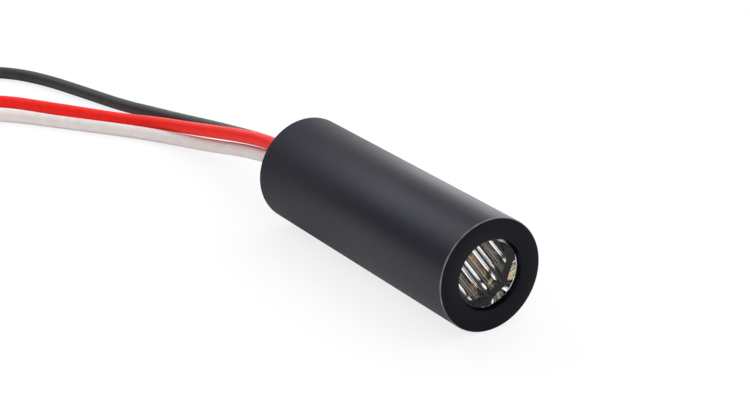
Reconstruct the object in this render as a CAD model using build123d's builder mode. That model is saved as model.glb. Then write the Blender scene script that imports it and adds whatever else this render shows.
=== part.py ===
from build123d import *
from math import asin, cos, pi, radians, sin, sqrt, tan
import os

# Line laser diode module lying on its side: a turned housing with a corrugated lens in its
# front, a brass optical cell and a can-type laser diode behind the lens, a driver board, and
# three round leads that leave a sealed plug at the back.
# +X is the beam direction, +Z is up and the module lies on z = 0, with the origin below the
# middle of the housing. Lengths are in millimetres and angles in degrees.

os.makedirs("parts", exist_ok=True)

# Housing
housing_length = 35.0
housing_diameter = 12.0
housing_wall = 1.0
edge_break = 0.1
slip_gap = 0.02

# Line lens and its pocket in the front face
lens_pocket_diameter = 7.5
pocket_edge_break = 0.1
lens_recess = 0.5
lens_thickness = 3.3
lens_gap = 0.05
lens_bevel = 0.25
lens_rim = 0.4
lens_seat_ledge = 0.5
lens_seat_thickness = 0.6
rib_pitch = 1.9
rib_height = 0.75
rib_root = 0.2
rib_setback = 0.06
rib_roll = 36.6

# Brass carrier of the diode and the collimator
holder_length = 11.0
holder_wall = 1.46
diode_seat_depth = 1.6
diode_web = 1.7

# Collimator
cell_wall = 0.98
cell_length = 5.0
cell_recess = 0.5
cell_lip = 0.5
cell_lip_ledge = 0.5
cell_slot_width = 0.8
cell_slot_depth = 0.6
collimator_edge = 1.0
collimator_land = 0.4
collimator_rise = 0.9
retainer_thickness = 1.0

# Can-type laser diode
header_diameter = 5.6
header_thickness = 1.2
cap_diameter = 3.55
cap_height = 2.3
cap_wall = 0.15
cap_clearance = 0.3
cap_opening = 1.6
window_diameter = 2.6
window_thickness = 0.25
chip_height = 1.27
chip_length = 0.3
chip_width = 0.25
chip_thickness = 0.1
submount_width = 1.0
submount_depth = 0.8
pin_diameter = 0.45
pin_circle = 2.0
pin_length = 3.0
pin_rise = 0.4
pin_seal_wall = 0.2

# Driver board and what is soldered to it
board_front_gap = 0.5
board_length = 9.0
board_edge_gap = 0.1
solder_film = 0.025
solder_length = 1.6
solder_side = 0.2
solder_cover = 0.12
solder_end_gap = 0.1
chip_row_margin = 1.1
chip_size = (2.0, 1.25)
chip_pitch = 2.7
resistor_height = 0.5
capacitor_height = 0.9
transistor_size = (1.3, 2.9)
transistor_height = 1.0
leg_length = 0.55
leg_width = 0.4
leg_height = 0.15
leg_pitch = 1.9
trimmer_size = 3.2
trimmer_height = 1.0
rotor_diameter = 2.4
rotor_height = 0.5
rotor_slot_width = 0.4
rotor_slot_depth = 0.3

# Sleeve, plug, seal and leads
sleeve_wall = 0.2
plug_recess = 0.4
plug_thickness = 2.5
seal_wall = 0.3
lead_diameter = 1.6
lead_spacing = 0.1
lead_gap = 0.02
lead_straight = 4.5
core_diameter = 0.76
core_length = 2.0
core_setback = 0.2
tip_length = 4.5

# Free points of each lead: down from the plug, then along the floor in a loose curl.
red_route = [
    (-27.0, 0.1, 6.3),
    (-33.2, 0.15, 5.2),
    (-38.9, -0.15, 4.0),
    (-45.3, -0.8, 2.75),
    (-51.6, -1.5, 1.6),
    (-56.8, -3.6, 0.9),
    (-62.0, -6.65, 0.8),
    (-67.1, -10.0, 0.8),
    (-71.9, -13.1, 0.8),
    (-75.2, -17.9, 0.8),
    (-77.0, -22.7, 0.8),
    (-76.9, -27.6, 0.8),
    (-74.8, -32.2, 0.8),
    (-71.0, -35.6, 0.8),
    (-66.3, -36.9, 0.8),
]
white_route = [
    (-27.0, -0.05, 4.25),
    (-32.8, -0.3, 3.1),
    (-38.1, -0.65, 2.1),
    (-43.6, -1.75, 1.3),
    (-48.4, -3.45, 0.8),
    (-52.4, -5.8, 0.8),
    (-56.9, -9.1, 0.8),
    (-61.5, -12.45, 0.8),
    (-65.8, -15.6, 0.8),
    (-70.1, -20.0, 0.8),
    (-72.2, -25.1, 0.8),
    (-70.8, -30.1, 0.8),
    (-66.6, -33.35, 0.8),
    (-61.3, -33.4, 0.8),
    (-57.1, -30.25, 0.8),
    (-54.9, -27.3, 0.8),
]
black_route = [
    (-29.3, 1.95, 5.2),
    (-36.3, 1.85, 4.15),
    (-42.5, 1.7, 3.15),
    (-49.3, 1.05, 2.15),
    (-56.1, 0.25, 1.3),
    (-62.1, -1.2, 0.85),
    (-70.0, -3.1, 0.8),
    (-77.6, -5.2, 0.8),
    (-83.2, -8.1, 0.8),
    (-86.9, -13.3, 0.8),
    (-88.4, -19.3, 0.8),
    (-87.6, -25.0, 0.8),
    (-85.9, -28.2, 0.8),
]
bend_share = 0.45

# Stations along the beam, from the front face to the back
axis_z = housing_diameter / 2
front_x = housing_length / 2
back_x = -housing_length / 2
lens_face_x = front_x - lens_recess
lens_seat_x = lens_face_x - lens_thickness
holder_front_x = lens_seat_x - lens_seat_thickness
holder_back_x = holder_front_x - holder_length
diode_seat_x = holder_back_x + diode_seat_depth
web_front_x = diode_seat_x + diode_web
header_back_x = diode_seat_x - header_thickness
cap_front_x = diode_seat_x + cap_height
chip_front_x = diode_seat_x + chip_height
cell_front_x = holder_front_x - cell_recess
cell_back_x = cell_front_x - cell_length
collimator_seat_x = cell_back_x + cell_lip
retainer_back_x = collimator_seat_x + collimator_edge
pin_back_x = header_back_x - pin_length
board_front_x = holder_back_x - board_front_gap
board_back_x = board_front_x - board_length
lead_start_x = board_back_x - core_setback
core_front_x = board_back_x + core_length
plug_back_x = back_x + plug_recess
plug_front_x = plug_back_x + plug_thickness

# Radii that fit in one another
housing_radius = housing_diameter / 2
bore_radius = housing_radius - housing_wall
pocket_radius = lens_pocket_diameter / 2
lens_radius = pocket_radius - lens_gap
beam_radius = pocket_radius - lens_seat_ledge
rib_zone_radius = lens_radius - lens_rim
carrier_radius = bore_radius - slip_gap
cell_radius = carrier_radius - holder_wall - slip_gap
cell_bore_radius = cell_radius - cell_wall
collimator_radius = cell_bore_radius - slip_gap
cell_lip_radius = collimator_radius - cell_lip_ledge
dome_radius = collimator_radius - collimator_land
header_radius = header_diameter / 2
cap_radius = cap_diameter / 2
pin_radius = pin_diameter / 2
pin_circle_radius = pin_circle / 2
lead_radius = lead_diameter / 2
core_radius = core_diameter / 2
sleeve_bore_radius = carrier_radius - sleeve_wall

# The board slides in between the one pin on its +Y side and the two on its -Y side.
pin_angles = (0, 120, 240)
pin_places = [
    (pin_circle_radius * cos(radians(angle)), pin_circle_radius * sin(radians(angle)))
    for angle in pin_angles
]
board_high_y = pin_places[0][0] - pin_radius - solder_film
board_low_y = pin_places[1][0] + pin_radius + solder_film
board_half_width = sqrt((sleeve_bore_radius - board_edge_gap) ** 2 - board_high_y**2)
chip_row_z = board_half_width - chip_row_margin

# The stripped leads lie on the board: black on its +Y face, red above white on its -Y face.
low_lane_y = board_low_y - solder_film - core_radius
high_lane_y = board_high_y + solder_film + core_radius
lane_z = lead_radius + lead_spacing / 2
red_lane = (low_lane_y, lane_z)
white_lane = (low_lane_y, -lane_z)
black_lane = (high_lane_y, 0.0)
lanes = [red_lane, white_lane, black_lane]
lane_reach = max(Vector(*lane).length for lane in lanes) + lead_radius
seal_radius = lane_reach + seal_wall

beam_axis = Axis((0, 0, axis_z), (1, 0, 0))
# Radial section: its x runs along the beam and its y is the radius from the beam axis.
radial_section = Plane(origin=(0, 0, axis_z), x_dir=(1, 0, 0), z_dir=(0, -1, 0))


def across(x):
    """Plane across the beam at x: local x is +Y, local y is +Z, and it faces the front."""
    return Plane(origin=(x, 0, axis_z), x_dir=(0, 1, 0), z_dir=(1, 0, 0))


def board_face(side):
    """Outer face of the board on its +Y (1) or -Y (-1) side, with local x along the beam."""
    face_y = board_high_y if side > 0 else board_low_y
    return Plane(origin=(0, face_y, axis_z), x_dir=(1, 0, 0), z_dir=(0, side, 0))


def finish(piece, name):
    """Label a finished piece and write it to its own file."""
    piece.part.label = name
    export_step(piece.part, f"parts/{name}.step")


# Housing: one turned tube, counterbored for the lens in front and bored from the back.
with BuildPart() as housing:
    with BuildSketch(radial_section):
        with BuildLine():
            Polyline(
                (back_x, bore_radius),
                (back_x, housing_radius),
                (front_x, housing_radius),
                (front_x, pocket_radius),
                (lens_seat_x, pocket_radius),
                (lens_seat_x, beam_radius),
                (holder_front_x, beam_radius),
                (holder_front_x, bore_radius),
                close=True,
            )
        make_face()
    revolve(axis=beam_axis)
    rims = housing.edges().filter_by(GeomType.CIRCLE)
    chamfer(rims.group_by(SortBy.RADIUS)[-1], edge_break)
    pocket_rim = housing.faces().sort_by(Axis.X)[-1].edges().sort_by(SortBy.RADIUS)[0]
    chamfer(pocket_rim, pocket_edge_break)
finish(housing, "housing")

# Line lens: a flat clear disc whose back carries round parallel ribs inside a plain rim.
rib_plane = Plane(
    origin=(lens_seat_x, 0, axis_z),
    x_dir=(0, cos(radians(rib_roll)), sin(radians(rib_roll))),
    z_dir=(0, -sin(radians(rib_roll)), cos(radians(rib_roll))),
)
rib_half = (rib_pitch - rib_root) / 2
rib_radius = (rib_half**2 + rib_height**2) / (2 * rib_height)
rib_pairs = int(rib_zone_radius / rib_pitch) + 1
rib_centres = [
    (index * rib_pitch, -rib_setback - rib_radius) for index in range(-rib_pairs, rib_pairs + 1)
]
groove_depth = rib_setback + rib_height

with BuildPart() as rib_grooves:
    with BuildSketch(rib_plane):
        with Locations((0, -groove_depth / 2)):
            Rectangle(2 * lens_radius, groove_depth)
        with Locations(*rib_centres):
            Circle(rib_radius, mode=Mode.SUBTRACT)
    extrude(amount=lens_radius, both=True)
    with BuildSketch(across(lens_seat_x)):
        Circle(rib_zone_radius)
    extrude(amount=groove_depth, mode=Mode.INTERSECT)

with BuildPart() as line_lens:
    with BuildSketch(across(lens_seat_x)):
        Circle(lens_radius)
    extrude(amount=lens_thickness)
    chamfer(line_lens.edges().sort_by(Axis.X)[-1], lens_bevel)
    add(rib_grooves.part, mode=Mode.SUBTRACT)
finish(line_lens, "line_lens")

# Diode holder: the cell's bore in front, a web with a hole for the can, and the header's seat.
with BuildPart() as diode_holder:
    with BuildSketch(radial_section):
        with BuildLine():
            Polyline(
                (holder_back_x, header_radius + slip_gap),
                (holder_back_x, carrier_radius),
                (holder_front_x, carrier_radius),
                (holder_front_x, cell_radius + slip_gap),
                (web_front_x, cell_radius + slip_gap),
                (web_front_x, cap_radius + cap_clearance),
                (diode_seat_x, cap_radius + cap_clearance),
                (diode_seat_x, header_radius + slip_gap),
                close=True,
            )
        make_face()
    revolve(axis=beam_axis)
finish(diode_holder, "diode_holder")

# Collimator cell: a turned barrel with a lip behind its lens and a screwdriver slot in front.
with BuildPart() as collimator_cell:
    with BuildSketch(radial_section):
        with BuildLine():
            Polyline(
                (cell_back_x, cell_lip_radius),
                (cell_back_x, cell_radius),
                (cell_front_x, cell_radius),
                (cell_front_x, cell_bore_radius),
                (collimator_seat_x, cell_bore_radius),
                (collimator_seat_x, cell_lip_radius),
                close=True,
            )
        make_face()
    revolve(axis=beam_axis)
    with BuildSketch(across(cell_front_x)):
        Rectangle(cell_slot_width, 2 * cell_radius)
    extrude(amount=-cell_slot_depth, mode=Mode.SUBTRACT)
finish(collimator_cell, "collimator_cell")

# Collimator lens: flat towards the diode, domed towards the front, with a flat land all round.
sphere_radius = (dome_radius**2 + collimator_rise**2) / (2 * collimator_rise)
dome_top_x = retainer_back_x + collimator_rise
dome_middle = asin(dome_radius / sphere_radius) / 2
dome_middle_x = dome_top_x - sphere_radius * (1 - cos(dome_middle))
with BuildPart() as collimator_lens:
    with BuildSketch(radial_section):
        with BuildLine():
            ThreePointArc(
                (retainer_back_x, dome_radius),
                (dome_middle_x, sphere_radius * sin(dome_middle)),
                (dome_top_x, 0),
            )
            Polyline(
                (retainer_back_x, dome_radius),
                (retainer_back_x, collimator_radius),
                (collimator_seat_x, collimator_radius),
                (collimator_seat_x, 0),
                (dome_top_x, 0),
            )
        make_face()
    revolve(axis=beam_axis)
finish(collimator_lens, "collimator_lens")

# Lens retainer: the ring that presses on the collimator's land.
with BuildPart() as lens_retainer:
    with BuildSketch(across(retainer_back_x)):
        Circle(collimator_radius)
        Circle(dome_radius, mode=Mode.SUBTRACT)
    extrude(amount=retainer_thickness)
finish(lens_retainer, "lens_retainer")

# Diode header: the can's base, with two holes for the sealed pins.
sealed_pins = pin_places[1:]
pin_hole_radius = pin_radius + pin_seal_wall
with BuildPart() as diode_header:
    with BuildSketch(across(header_back_x)):
        Circle(header_radius)
        with Locations(*sealed_pins):
            Circle(pin_hole_radius, mode=Mode.SUBTRACT)
    extrude(amount=header_thickness)
finish(diode_header, "diode_header")

# Pin seals: a glass bead round each sealed pin.
with BuildPart() as pin_seals:
    with BuildSketch(across(header_back_x)):
        with Locations(*sealed_pins):
            Circle(pin_hole_radius)
            Circle(pin_radius, mode=Mode.SUBTRACT)
    extrude(amount=header_thickness)
finish(pin_seals, "pin_seals")

# Diode pins: two run through their beads, and the third is welded to the back of the header.
with BuildPart() as diode_pins:
    with BuildSketch(across(pin_back_x)):
        with Locations(pin_places[0]):
            Circle(pin_radius)
    extrude(amount=pin_length)
    with BuildSketch(across(pin_back_x)):
        with Locations(*sealed_pins):
            Circle(pin_radius)
    extrude(amount=pin_length + header_thickness + pin_rise)
finish(diode_pins, "diode_pins")

# Laser submount and chip: the chip's lit edge is on the beam axis.
submount_y = chip_thickness / 2 + submount_depth / 2
with BuildPart() as laser_submount:
    with BuildSketch(across(diode_seat_x)):
        with Locations((submount_y, 0)):
            Rectangle(submount_depth, submount_width)
    extrude(amount=chip_height)
finish(laser_submount, "laser_submount")

with BuildPart() as laser_chip:
    with BuildSketch(across(chip_front_x)):
        Rectangle(chip_thickness, chip_width)
    extrude(amount=-chip_length)
finish(laser_chip, "laser_chip")

# Diode cap: a thin can with a round opening, and the window sealed inside it.
cap_inner_radius = cap_radius - cap_wall
cap_roof_x = cap_front_x - cap_wall
with BuildPart() as diode_cap:
    with BuildSketch(across(diode_seat_x)):
        Circle(cap_radius)
    extrude(amount=cap_height)
    with BuildSketch(across(diode_seat_x)):
        Circle(cap_inner_radius)
    extrude(amount=cap_height - cap_wall, mode=Mode.SUBTRACT)
    with BuildSketch(across(cap_roof_x)):
        Circle(cap_opening / 2)
    extrude(amount=cap_wall, mode=Mode.SUBTRACT)
finish(diode_cap, "diode_cap")

with BuildPart() as diode_window:
    with BuildSketch(across(cap_roof_x)):
        Circle(window_diameter / 2)
    extrude(amount=-window_thickness)
finish(diode_window, "diode_window")

# Driver board: as wide as the sleeve lets it be, held by the diode's pins.
board_thickness = board_high_y - board_low_y
board_middle_x = (board_front_x + board_back_x) / 2
with BuildPart() as driver_board:
    with BuildSketch(board_face(1)):
        with Locations((board_middle_x, 0)):
            Rectangle(board_length, 2 * board_half_width)
    extrude(amount=-board_thickness)
finish(driver_board, "driver_board")

# Chip resistors and capacitors: rows along the board's long edges, resistors on the -Y side.
chip_row = [board_middle_x + step * chip_pitch for step in (-1, 0, 1)]
chip_places = [(x, z) for x in chip_row for z in (-chip_row_z, chip_row_z)]
with BuildPart() as chip_resistors:
    with BuildSketch(board_face(-1)):
        with Locations(*chip_places):
            Rectangle(*chip_size)
    extrude(amount=resistor_height)
finish(chip_resistors, "chip_resistors")

with BuildPart() as ceramic_capacitors:
    with BuildSketch(board_face(1)):
        with Locations(*chip_places):
            Rectangle(*chip_size)
    extrude(amount=capacitor_height)
finish(ceramic_capacitors, "ceramic_capacitors")

# Driver transistor on the -Y side and its three legs.
with BuildPart() as driver_transistor:
    with BuildSketch(board_face(-1)):
        with Locations((board_middle_x, 0)):
            Rectangle(*transistor_size)
    extrude(amount=transistor_height)
finish(driver_transistor, "driver_transistor")

leg_reach = transistor_size[0] / 2 + leg_length / 2
leg_places = [
    (board_middle_x + leg_reach, 0),
    (board_middle_x - leg_reach, leg_pitch / 2),
    (board_middle_x - leg_reach, -leg_pitch / 2),
]
with BuildPart() as transistor_legs:
    with BuildSketch(board_face(-1)):
        with Locations(*leg_places):
            Rectangle(leg_length, leg_width)
    extrude(amount=leg_height)
finish(transistor_legs, "transistor_legs")

# Trimmer that sets the laser's power, on the +Y side: a square base and a slotted rotor.
with BuildPart() as trimmer_body:
    with BuildSketch(board_face(1)):
        with Locations((board_middle_x, 0)):
            Rectangle(trimmer_size, trimmer_size)
    extrude(amount=trimmer_height)
finish(trimmer_body, "trimmer_body")

with BuildPart() as trimmer_rotor:
    with BuildSketch(board_face(1).offset(trimmer_height)):
        with Locations((board_middle_x, 0)):
            Circle(rotor_diameter / 2)
    extrude(amount=rotor_height)
    with BuildSketch(board_face(1).offset(trimmer_height + rotor_height)):
        with Locations((board_middle_x, 0)):
            Rectangle(rotor_diameter, rotor_slot_width)
    extrude(amount=-rotor_slot_depth, mode=Mode.SUBTRACT)
finish(trimmer_rotor, "trimmer_rotor")

# Solder joints: a sloped fillet of solder over each pin and each stripped lead on the board.
pin_joint_x = board_front_x - solder_end_gap - solder_length
core_joint_x = board_back_x + solder_end_gap
joints = [(pin_joint_x, place, pin_radius) for place in pin_places]
joints += [(core_joint_x, lane, core_radius) for lane in lanes]
with BuildPart() as solder_joints:
    for joint_x, (wire_y, wire_z), wire_radius in joints:
        side = 1 if wire_y > board_high_y else -1
        face_y = board_high_y if side > 0 else board_low_y
        crest_y = wire_y + side * (wire_radius + solder_cover)
        crest_half = wire_radius + solder_side
        foot_half = crest_half + solder_side
        with BuildSketch(across(joint_x)):
            with BuildLine():
                Polyline(
                    (face_y, wire_z - foot_half),
                    (crest_y, wire_z - crest_half),
                    (crest_y, wire_z + crest_half),
                    (face_y, wire_z + foot_half),
                    close=True,
                )
            make_face()
            with Locations((wire_y, wire_z)):
                Circle(wire_radius, mode=Mode.SUBTRACT)
        extrude(amount=solder_length)
finish(solder_joints, "solder_joints")

# Soldered cores: the stripped inner ends of the leads, from their insulation on to the board.
with BuildPart() as soldered_cores:
    with BuildSketch(across(lead_start_x)):
        with Locations(*lanes):
            Circle(core_radius)
    extrude(amount=core_front_x - lead_start_x)
finish(soldered_cores, "soldered_cores")

# Insulating sleeve: a thin tube that lines the bore from the holder to the plug.
with BuildPart() as insulating_sleeve:
    with BuildSketch(across(plug_front_x)):
        Circle(carrier_radius)
        Circle(sleeve_bore_radius, mode=Mode.SUBTRACT)
    extrude(amount=holder_back_x - plug_front_x)
finish(insulating_sleeve, "insulating_sleeve")

# Rear plug: a ring pushed into the bore, with its outer edge broken.
with BuildPart() as rear_plug:
    with BuildSketch(across(plug_back_x)):
        Circle(carrier_radius)
        Circle(seal_radius, mode=Mode.SUBTRACT)
    extrude(amount=plug_thickness)
    chamfer(rear_plug.faces().sort_by(Axis.X)[0].edges(), edge_break)
finish(rear_plug, "rear_plug")

# Lead seal: the filling of the plug's hole, cast round the three leads.
with BuildPart() as lead_seal:
    with BuildSketch(across(plug_back_x + edge_break)):
        Circle(seal_radius)
        with Locations(*lanes):
            Circle(lead_radius + lead_gap, mode=Mode.SUBTRACT)
    extrude(amount=plug_thickness - edge_break)
finish(lead_seal, "lead_seal")


def bend_radii(points):
    """Radius at each bend: a share of the shorter run over the tangent of half the turn."""
    radii = []
    for before, corner, after in zip(points, points[1:], points[2:]):
        arriving = Vector(*corner) - Vector(*before)
        leaving = Vector(*after) - Vector(*corner)
        half_turn = radians(arriving.get_angle(leaving)) / 2
        radii.append(bend_share * min(arriving.length, leaving.length) / tan(half_turn))
    return radii


def make_lead(name, lane, route):
    """One insulated lead, from the board through the seal to its far end, and its bare tip."""
    lane_y, lane_z_offset = lane
    exit_point = (plug_back_x, lane_y, axis_z + lane_z_offset)
    first_bend = (plug_back_x - lead_straight, lane_y, axis_z + lane_z_offset)
    points = [exit_point, first_bend] + route
    radii = bend_radii(points)

    with BuildPart() as lead:
        with BuildLine():
            path = FilletPolyline(*points, radius=radii)
        with BuildSketch(Plane(origin=path @ 0, z_dir=path % 0)):
            Circle(lead_radius)
        sweep()
        tube_volume = lead.part.volume
        with BuildSketch(across(plug_back_x)):
            with Locations(lane):
                Circle(lead_radius)
        extrude(amount=lead_start_x - plug_back_x)
    finish(lead, f"{name}_lead")

    with BuildPart() as tip:
        with BuildSketch(Plane(origin=path @ 1, z_dir=path % 1)):
            Circle(core_radius)
        extrude(amount=tip_length)
    finish(tip, f"{name}_tip")

    expected = path.length * pi * lead_radius**2
    print(f"{name}_lead: free length {path.length:.2f}, volume {tube_volume:.2f} of {expected:.2f}")
    print(f"{name}_lead: radii {[round(radius, 1) for radius in radii]}")


make_lead("red", red_lane, red_route)
make_lead("white", white_lane, white_route)
make_lead("black", black_lane, black_route)
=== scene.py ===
# %% [markdown]
# # A line laser module, dressed in Blender
# The object is a small laser that draws a line: a turned black tube with a ribbed clear lens
# in its front and three leads at its back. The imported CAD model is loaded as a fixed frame,
# in metres, and stays where it is. Blender adds round surfaces, smooth leads and finishes.

# %% Load the frame
from math import asin, cos, exp, radians, sin, sqrt, tau

import bmesh
import bpy
from mathutils import Matrix, Vector


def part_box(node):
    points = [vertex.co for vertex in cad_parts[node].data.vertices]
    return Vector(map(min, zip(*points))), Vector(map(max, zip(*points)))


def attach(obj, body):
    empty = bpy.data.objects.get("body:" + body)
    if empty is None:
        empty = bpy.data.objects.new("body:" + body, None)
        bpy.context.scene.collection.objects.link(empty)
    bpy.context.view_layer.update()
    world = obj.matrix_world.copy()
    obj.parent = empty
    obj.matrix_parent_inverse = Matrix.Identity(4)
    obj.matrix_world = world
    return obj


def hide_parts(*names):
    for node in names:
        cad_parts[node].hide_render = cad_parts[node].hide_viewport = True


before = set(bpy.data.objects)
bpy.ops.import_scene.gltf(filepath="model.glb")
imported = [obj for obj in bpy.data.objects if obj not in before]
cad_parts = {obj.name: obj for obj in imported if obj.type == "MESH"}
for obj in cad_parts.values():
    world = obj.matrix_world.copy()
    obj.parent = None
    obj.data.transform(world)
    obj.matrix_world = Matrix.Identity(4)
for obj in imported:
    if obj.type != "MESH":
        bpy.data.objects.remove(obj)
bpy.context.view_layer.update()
scene = bpy.context.scene
scene.view_settings.view_transform = "Standard"
MM = 0.001
print("nodes in the frame:", len(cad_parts))

# %% [markdown]
# ## The camera
# The picture is taken from in front and above, with a long lens, so the tube hardly narrows
# towards its back. A turn about the upright axis and a tilt are easier to read than three
# Euler angles, so the direction of view is made from those two and tracked along -Z.

# %% Camera
EYE = Vector((157.866, -104.488, 83.694)) * MM
VIEW_TURN = radians(57.045)
VIEW_TILT = radians(22.034)
SENSOR_WIDTH = 36.0
FOCAL_LENGTH = 93.62
NEAREST_SEEN = 5.0 * MM
view_direction = Vector((
    -sin(VIEW_TURN) * cos(VIEW_TILT),
    cos(VIEW_TURN) * cos(VIEW_TILT),
    -sin(VIEW_TILT),
))
camera_data = bpy.data.cameras.new("bench_camera")
camera_data.sensor_width = SENSOR_WIDTH
camera_data.lens = FOCAL_LENGTH
camera_data.clip_start = NEAREST_SEEN
camera = bpy.data.objects.new("bench_camera", camera_data)
camera.location = EYE
camera.rotation_euler = view_direction.to_track_quat("-Z", "Y").to_euler()
scene.collection.objects.link(camera)
scene.camera = camera
print("camera looks along", [round(value, 3) for value in view_direction])

# %% [markdown]
# ## Shared grain and turning marks
# Two effects come back in many finishes: a fine grain, as on blasted metal or moulded plastic,
# and the fine rings that a lathe leaves. Each is a node group that takes a Scale and puts out a
# Mask, so a material only chooses a scale. The rings use the place along the axis plus the
# distance from it: on a tube that sum changes along its length, and on a flat end from rim to
# centre. A few small helpers add the nodes, because a tree is easier to read as a formula.

# %% Measures of the tube
tube_low, tube_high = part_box("housing")
AXIS_Z = (tube_low.z + tube_high.z) / 2
TUBE_RADIUS = (tube_high.z - tube_low.z) / 2
FRONT_X = tube_high.x
BACK_X = tube_low.x
print("tube radius and length, mm:", round(TUBE_RADIUS / MM, 3), round((FRONT_X - BACK_X) / MM, 3))


# %% Node helpers
def plug_in(tree, value, socket):
    """Sets a number on a socket, or links another socket to it."""
    if isinstance(value, (int, float)):
        socket.default_value = value
    else:
        tree.links.new(value, socket)


def maths(tree, operation, first, second):
    """A Math node of two numbers or sockets."""
    node = tree.nodes.new("ShaderNodeMath")
    node.operation = operation
    plug_in(tree, first, node.inputs[0])
    plug_in(tree, second, node.inputs[1])
    return node.outputs[0]


def spread(tree, value, low, high):
    """Stretches the part of a value from low to high over the range from 0 to 1."""
    node = tree.nodes.new("ShaderNodeMapRange")
    node.inputs["From Min"].default_value = low
    node.inputs["From Max"].default_value = high
    tree.links.new(value, node.inputs["Value"])
    return node.outputs["Result"]


# %% Place and noise helpers
def own_place(tree):
    """The place on the piece itself, by which every pattern is laid out."""
    return tree.nodes.new("ShaderNodeTexCoord").outputs["Object"]


def lathe_place(tree):
    """The place along the beam axis and the distance from it, as two sockets."""
    split = tree.nodes.new("ShaderNodeSeparateXYZ")
    tree.links.new(own_place(tree), split.inputs["Vector"])
    height = maths(tree, "SUBTRACT", split.outputs["Z"], AXIS_Z)
    side_square = maths(tree, "MULTIPLY", split.outputs["Y"], split.outputs["Y"])
    height_square = maths(tree, "MULTIPLY", height, height)
    square = maths(tree, "ADD", side_square, height_square)
    return split.outputs["X"], maths(tree, "POWER", square, 0.5)


def line_noise(tree, place, scale):
    """Noise that changes along one line only."""
    node = tree.nodes.new("ShaderNodeTexNoise")
    node.noise_dimensions = "1D"
    tree.links.new(place, node.inputs["W"])
    plug_in(tree, scale, node.inputs["Scale"])
    return node.outputs["Fac"]


# %% Grain group
GRAIN_DETAIL = 3.0
NOISE_MIDDLE = 0.3, 0.7


def start_group(name):
    """An empty shader group, the socket of its Scale and the socket for its Mask."""
    group = bpy.data.node_groups.new(name, "ShaderNodeTree")
    group.interface.new_socket("Scale", in_out="INPUT", socket_type="NodeSocketFloat")
    group.interface.new_socket("Mask", in_out="OUTPUT", socket_type="NodeSocketFloat")
    scale = group.nodes.new("NodeGroupInput").outputs["Scale"]
    mask = group.nodes.new("NodeGroupOutput").inputs["Mask"]
    return group, scale, mask


grain_group, grain_scale, grain_mask = start_group("fine_grain")
grains = grain_group.nodes.new("ShaderNodeTexNoise")
grains.inputs["Detail"].default_value = GRAIN_DETAIL
grain_group.links.new(own_place(grain_group), grains.inputs["Vector"])
grain_group.links.new(grain_scale, grains.inputs["Scale"])
grain_group.links.new(spread(grain_group, grains.outputs["Fac"], *NOISE_MIDDLE), grain_mask)
print("nodes in the grain:", len(grain_group.nodes))

# %% Rings group
rings_group, rings_scale, rings_mask = start_group("turning_rings")
along_outline = maths(rings_group, "ADD", *lathe_place(rings_group))
rings = line_noise(rings_group, along_outline, rings_scale)
rings_group.links.new(spread(rings_group, rings, *NOISE_MIDDLE), rings_mask)
print("groups:", [group.name for group in bpy.data.node_groups])


# %% [markdown]
# ## Finishes
# Every finish starts from one Principled shader. A mask from a group is stretched between two
# colours and between two roughness values, and the same mask, very shallow, moves the normal.
# A patchy finish shows only the middle of its mask, so its two colours meet in blots. What is the
# same all over, such as the index of refraction, is set on the shader itself.

# %% Mask helpers
def inside(material):
    """The node tree of a finish, and its shader."""
    return material.node_tree, material.node_tree.nodes["Principled BSDF"]


def group_mask(tree, group, scale):
    """Places a shared group in a material and returns its mask."""
    node = tree.nodes.new("ShaderNodeGroup")
    node.node_tree = group
    node.inputs["Scale"].default_value = scale
    return node.outputs["Mask"]


def between_colours(tree, mask, first, second):
    """Blends two colours by a mask."""
    ramp = tree.nodes.new("ShaderNodeValToRGB")
    ramp.color_ramp.elements[0].color = (*first, 1.0)
    ramp.color_ramp.elements[1].color = (*second, 1.0)
    tree.links.new(mask, ramp.inputs["Fac"])
    return ramp.outputs["Color"]


def between_values(tree, mask, first, second):
    """Blends two numbers by a mask."""
    node = tree.nodes.new("ShaderNodeMapRange")
    node.inputs["To Min"].default_value = first
    node.inputs["To Max"].default_value = second
    tree.links.new(mask, node.inputs["Value"])
    return node.outputs["Result"]


# %% Relief and finish helpers
def relief(tree, mask, depth, strength=1.0, under=None):
    """A bump of a real depth in metres, on top of another one if given."""
    node = tree.nodes.new("ShaderNodeBump")
    node.inputs["Distance"].default_value = depth
    node.inputs["Strength"].default_value = strength
    tree.links.new(mask, node.inputs["Height"])
    if under is not None:
        tree.links.new(under, node.inputs["Normal"])
    return node.outputs["Normal"]


def finish(name, colours, rough, scale, depth=0.0, group=grain_group, patchy=None, **plain):
    """A material with one mask for its colour, its roughness and its relief."""
    material = bpy.data.materials.new(name)
    material.use_nodes = True
    tree, shader = inside(material)
    mask = group_mask(tree, group, scale)
    if colours:
        blots = spread(tree, mask, *patchy) if patchy else mask
        tree.links.new(between_colours(tree, blots, *colours), shader.inputs["Base Color"])
    tree.links.new(between_values(tree, mask, *rough), shader.inputs["Roughness"])
    if depth:
        tree.links.new(relief(tree, mask, depth), shader.inputs["Normal"])
    for socket, value in plain.items():
        shader.inputs[socket.replace("_", " ")].default_value = value
    return material


# %% [markdown]
# ## The tube's black finish
# The tube is aluminium, turned, blasted and dyed black. Dyed oxide is a dark satin coat with a little
# blue in it, not a mirror. The front end is faced last with a sharp tool, so it is smoother, and gets
# a second material. That material is also darker and mirrors less, as painted shade on the front face
# and in the lens pocket.

# %% Black anodised metal
tube_black = finish(
    "black_anodised", ((0.0078, 0.0080, 0.0130), (0.0125, 0.0128, 0.0195)), (0.34, 0.43),
    scale=9000.0, Specular_IOR_Level=0.29, Specular_Tint=(0.86, 0.89, 1.0, 1.0),
)
# painted shade: a darker copy of the black, with less mirror, for the front face and the pocket
face_black_painted_shade = finish(
    "black_anodised_face_painted_shade", ((0.0020, 0.0020, 0.0034), (0.0034, 0.0034, 0.0052)), (0.36, 0.46),
    scale=16000.0, depth=0.001 * MM, group=rings_group,
    Specular_IOR_Level=0.12, Specular_Tint=(0.84, 0.86, 1.0, 1.0),
)
print("black finishes:", tube_black.name, face_black_painted_shade.name)
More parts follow.
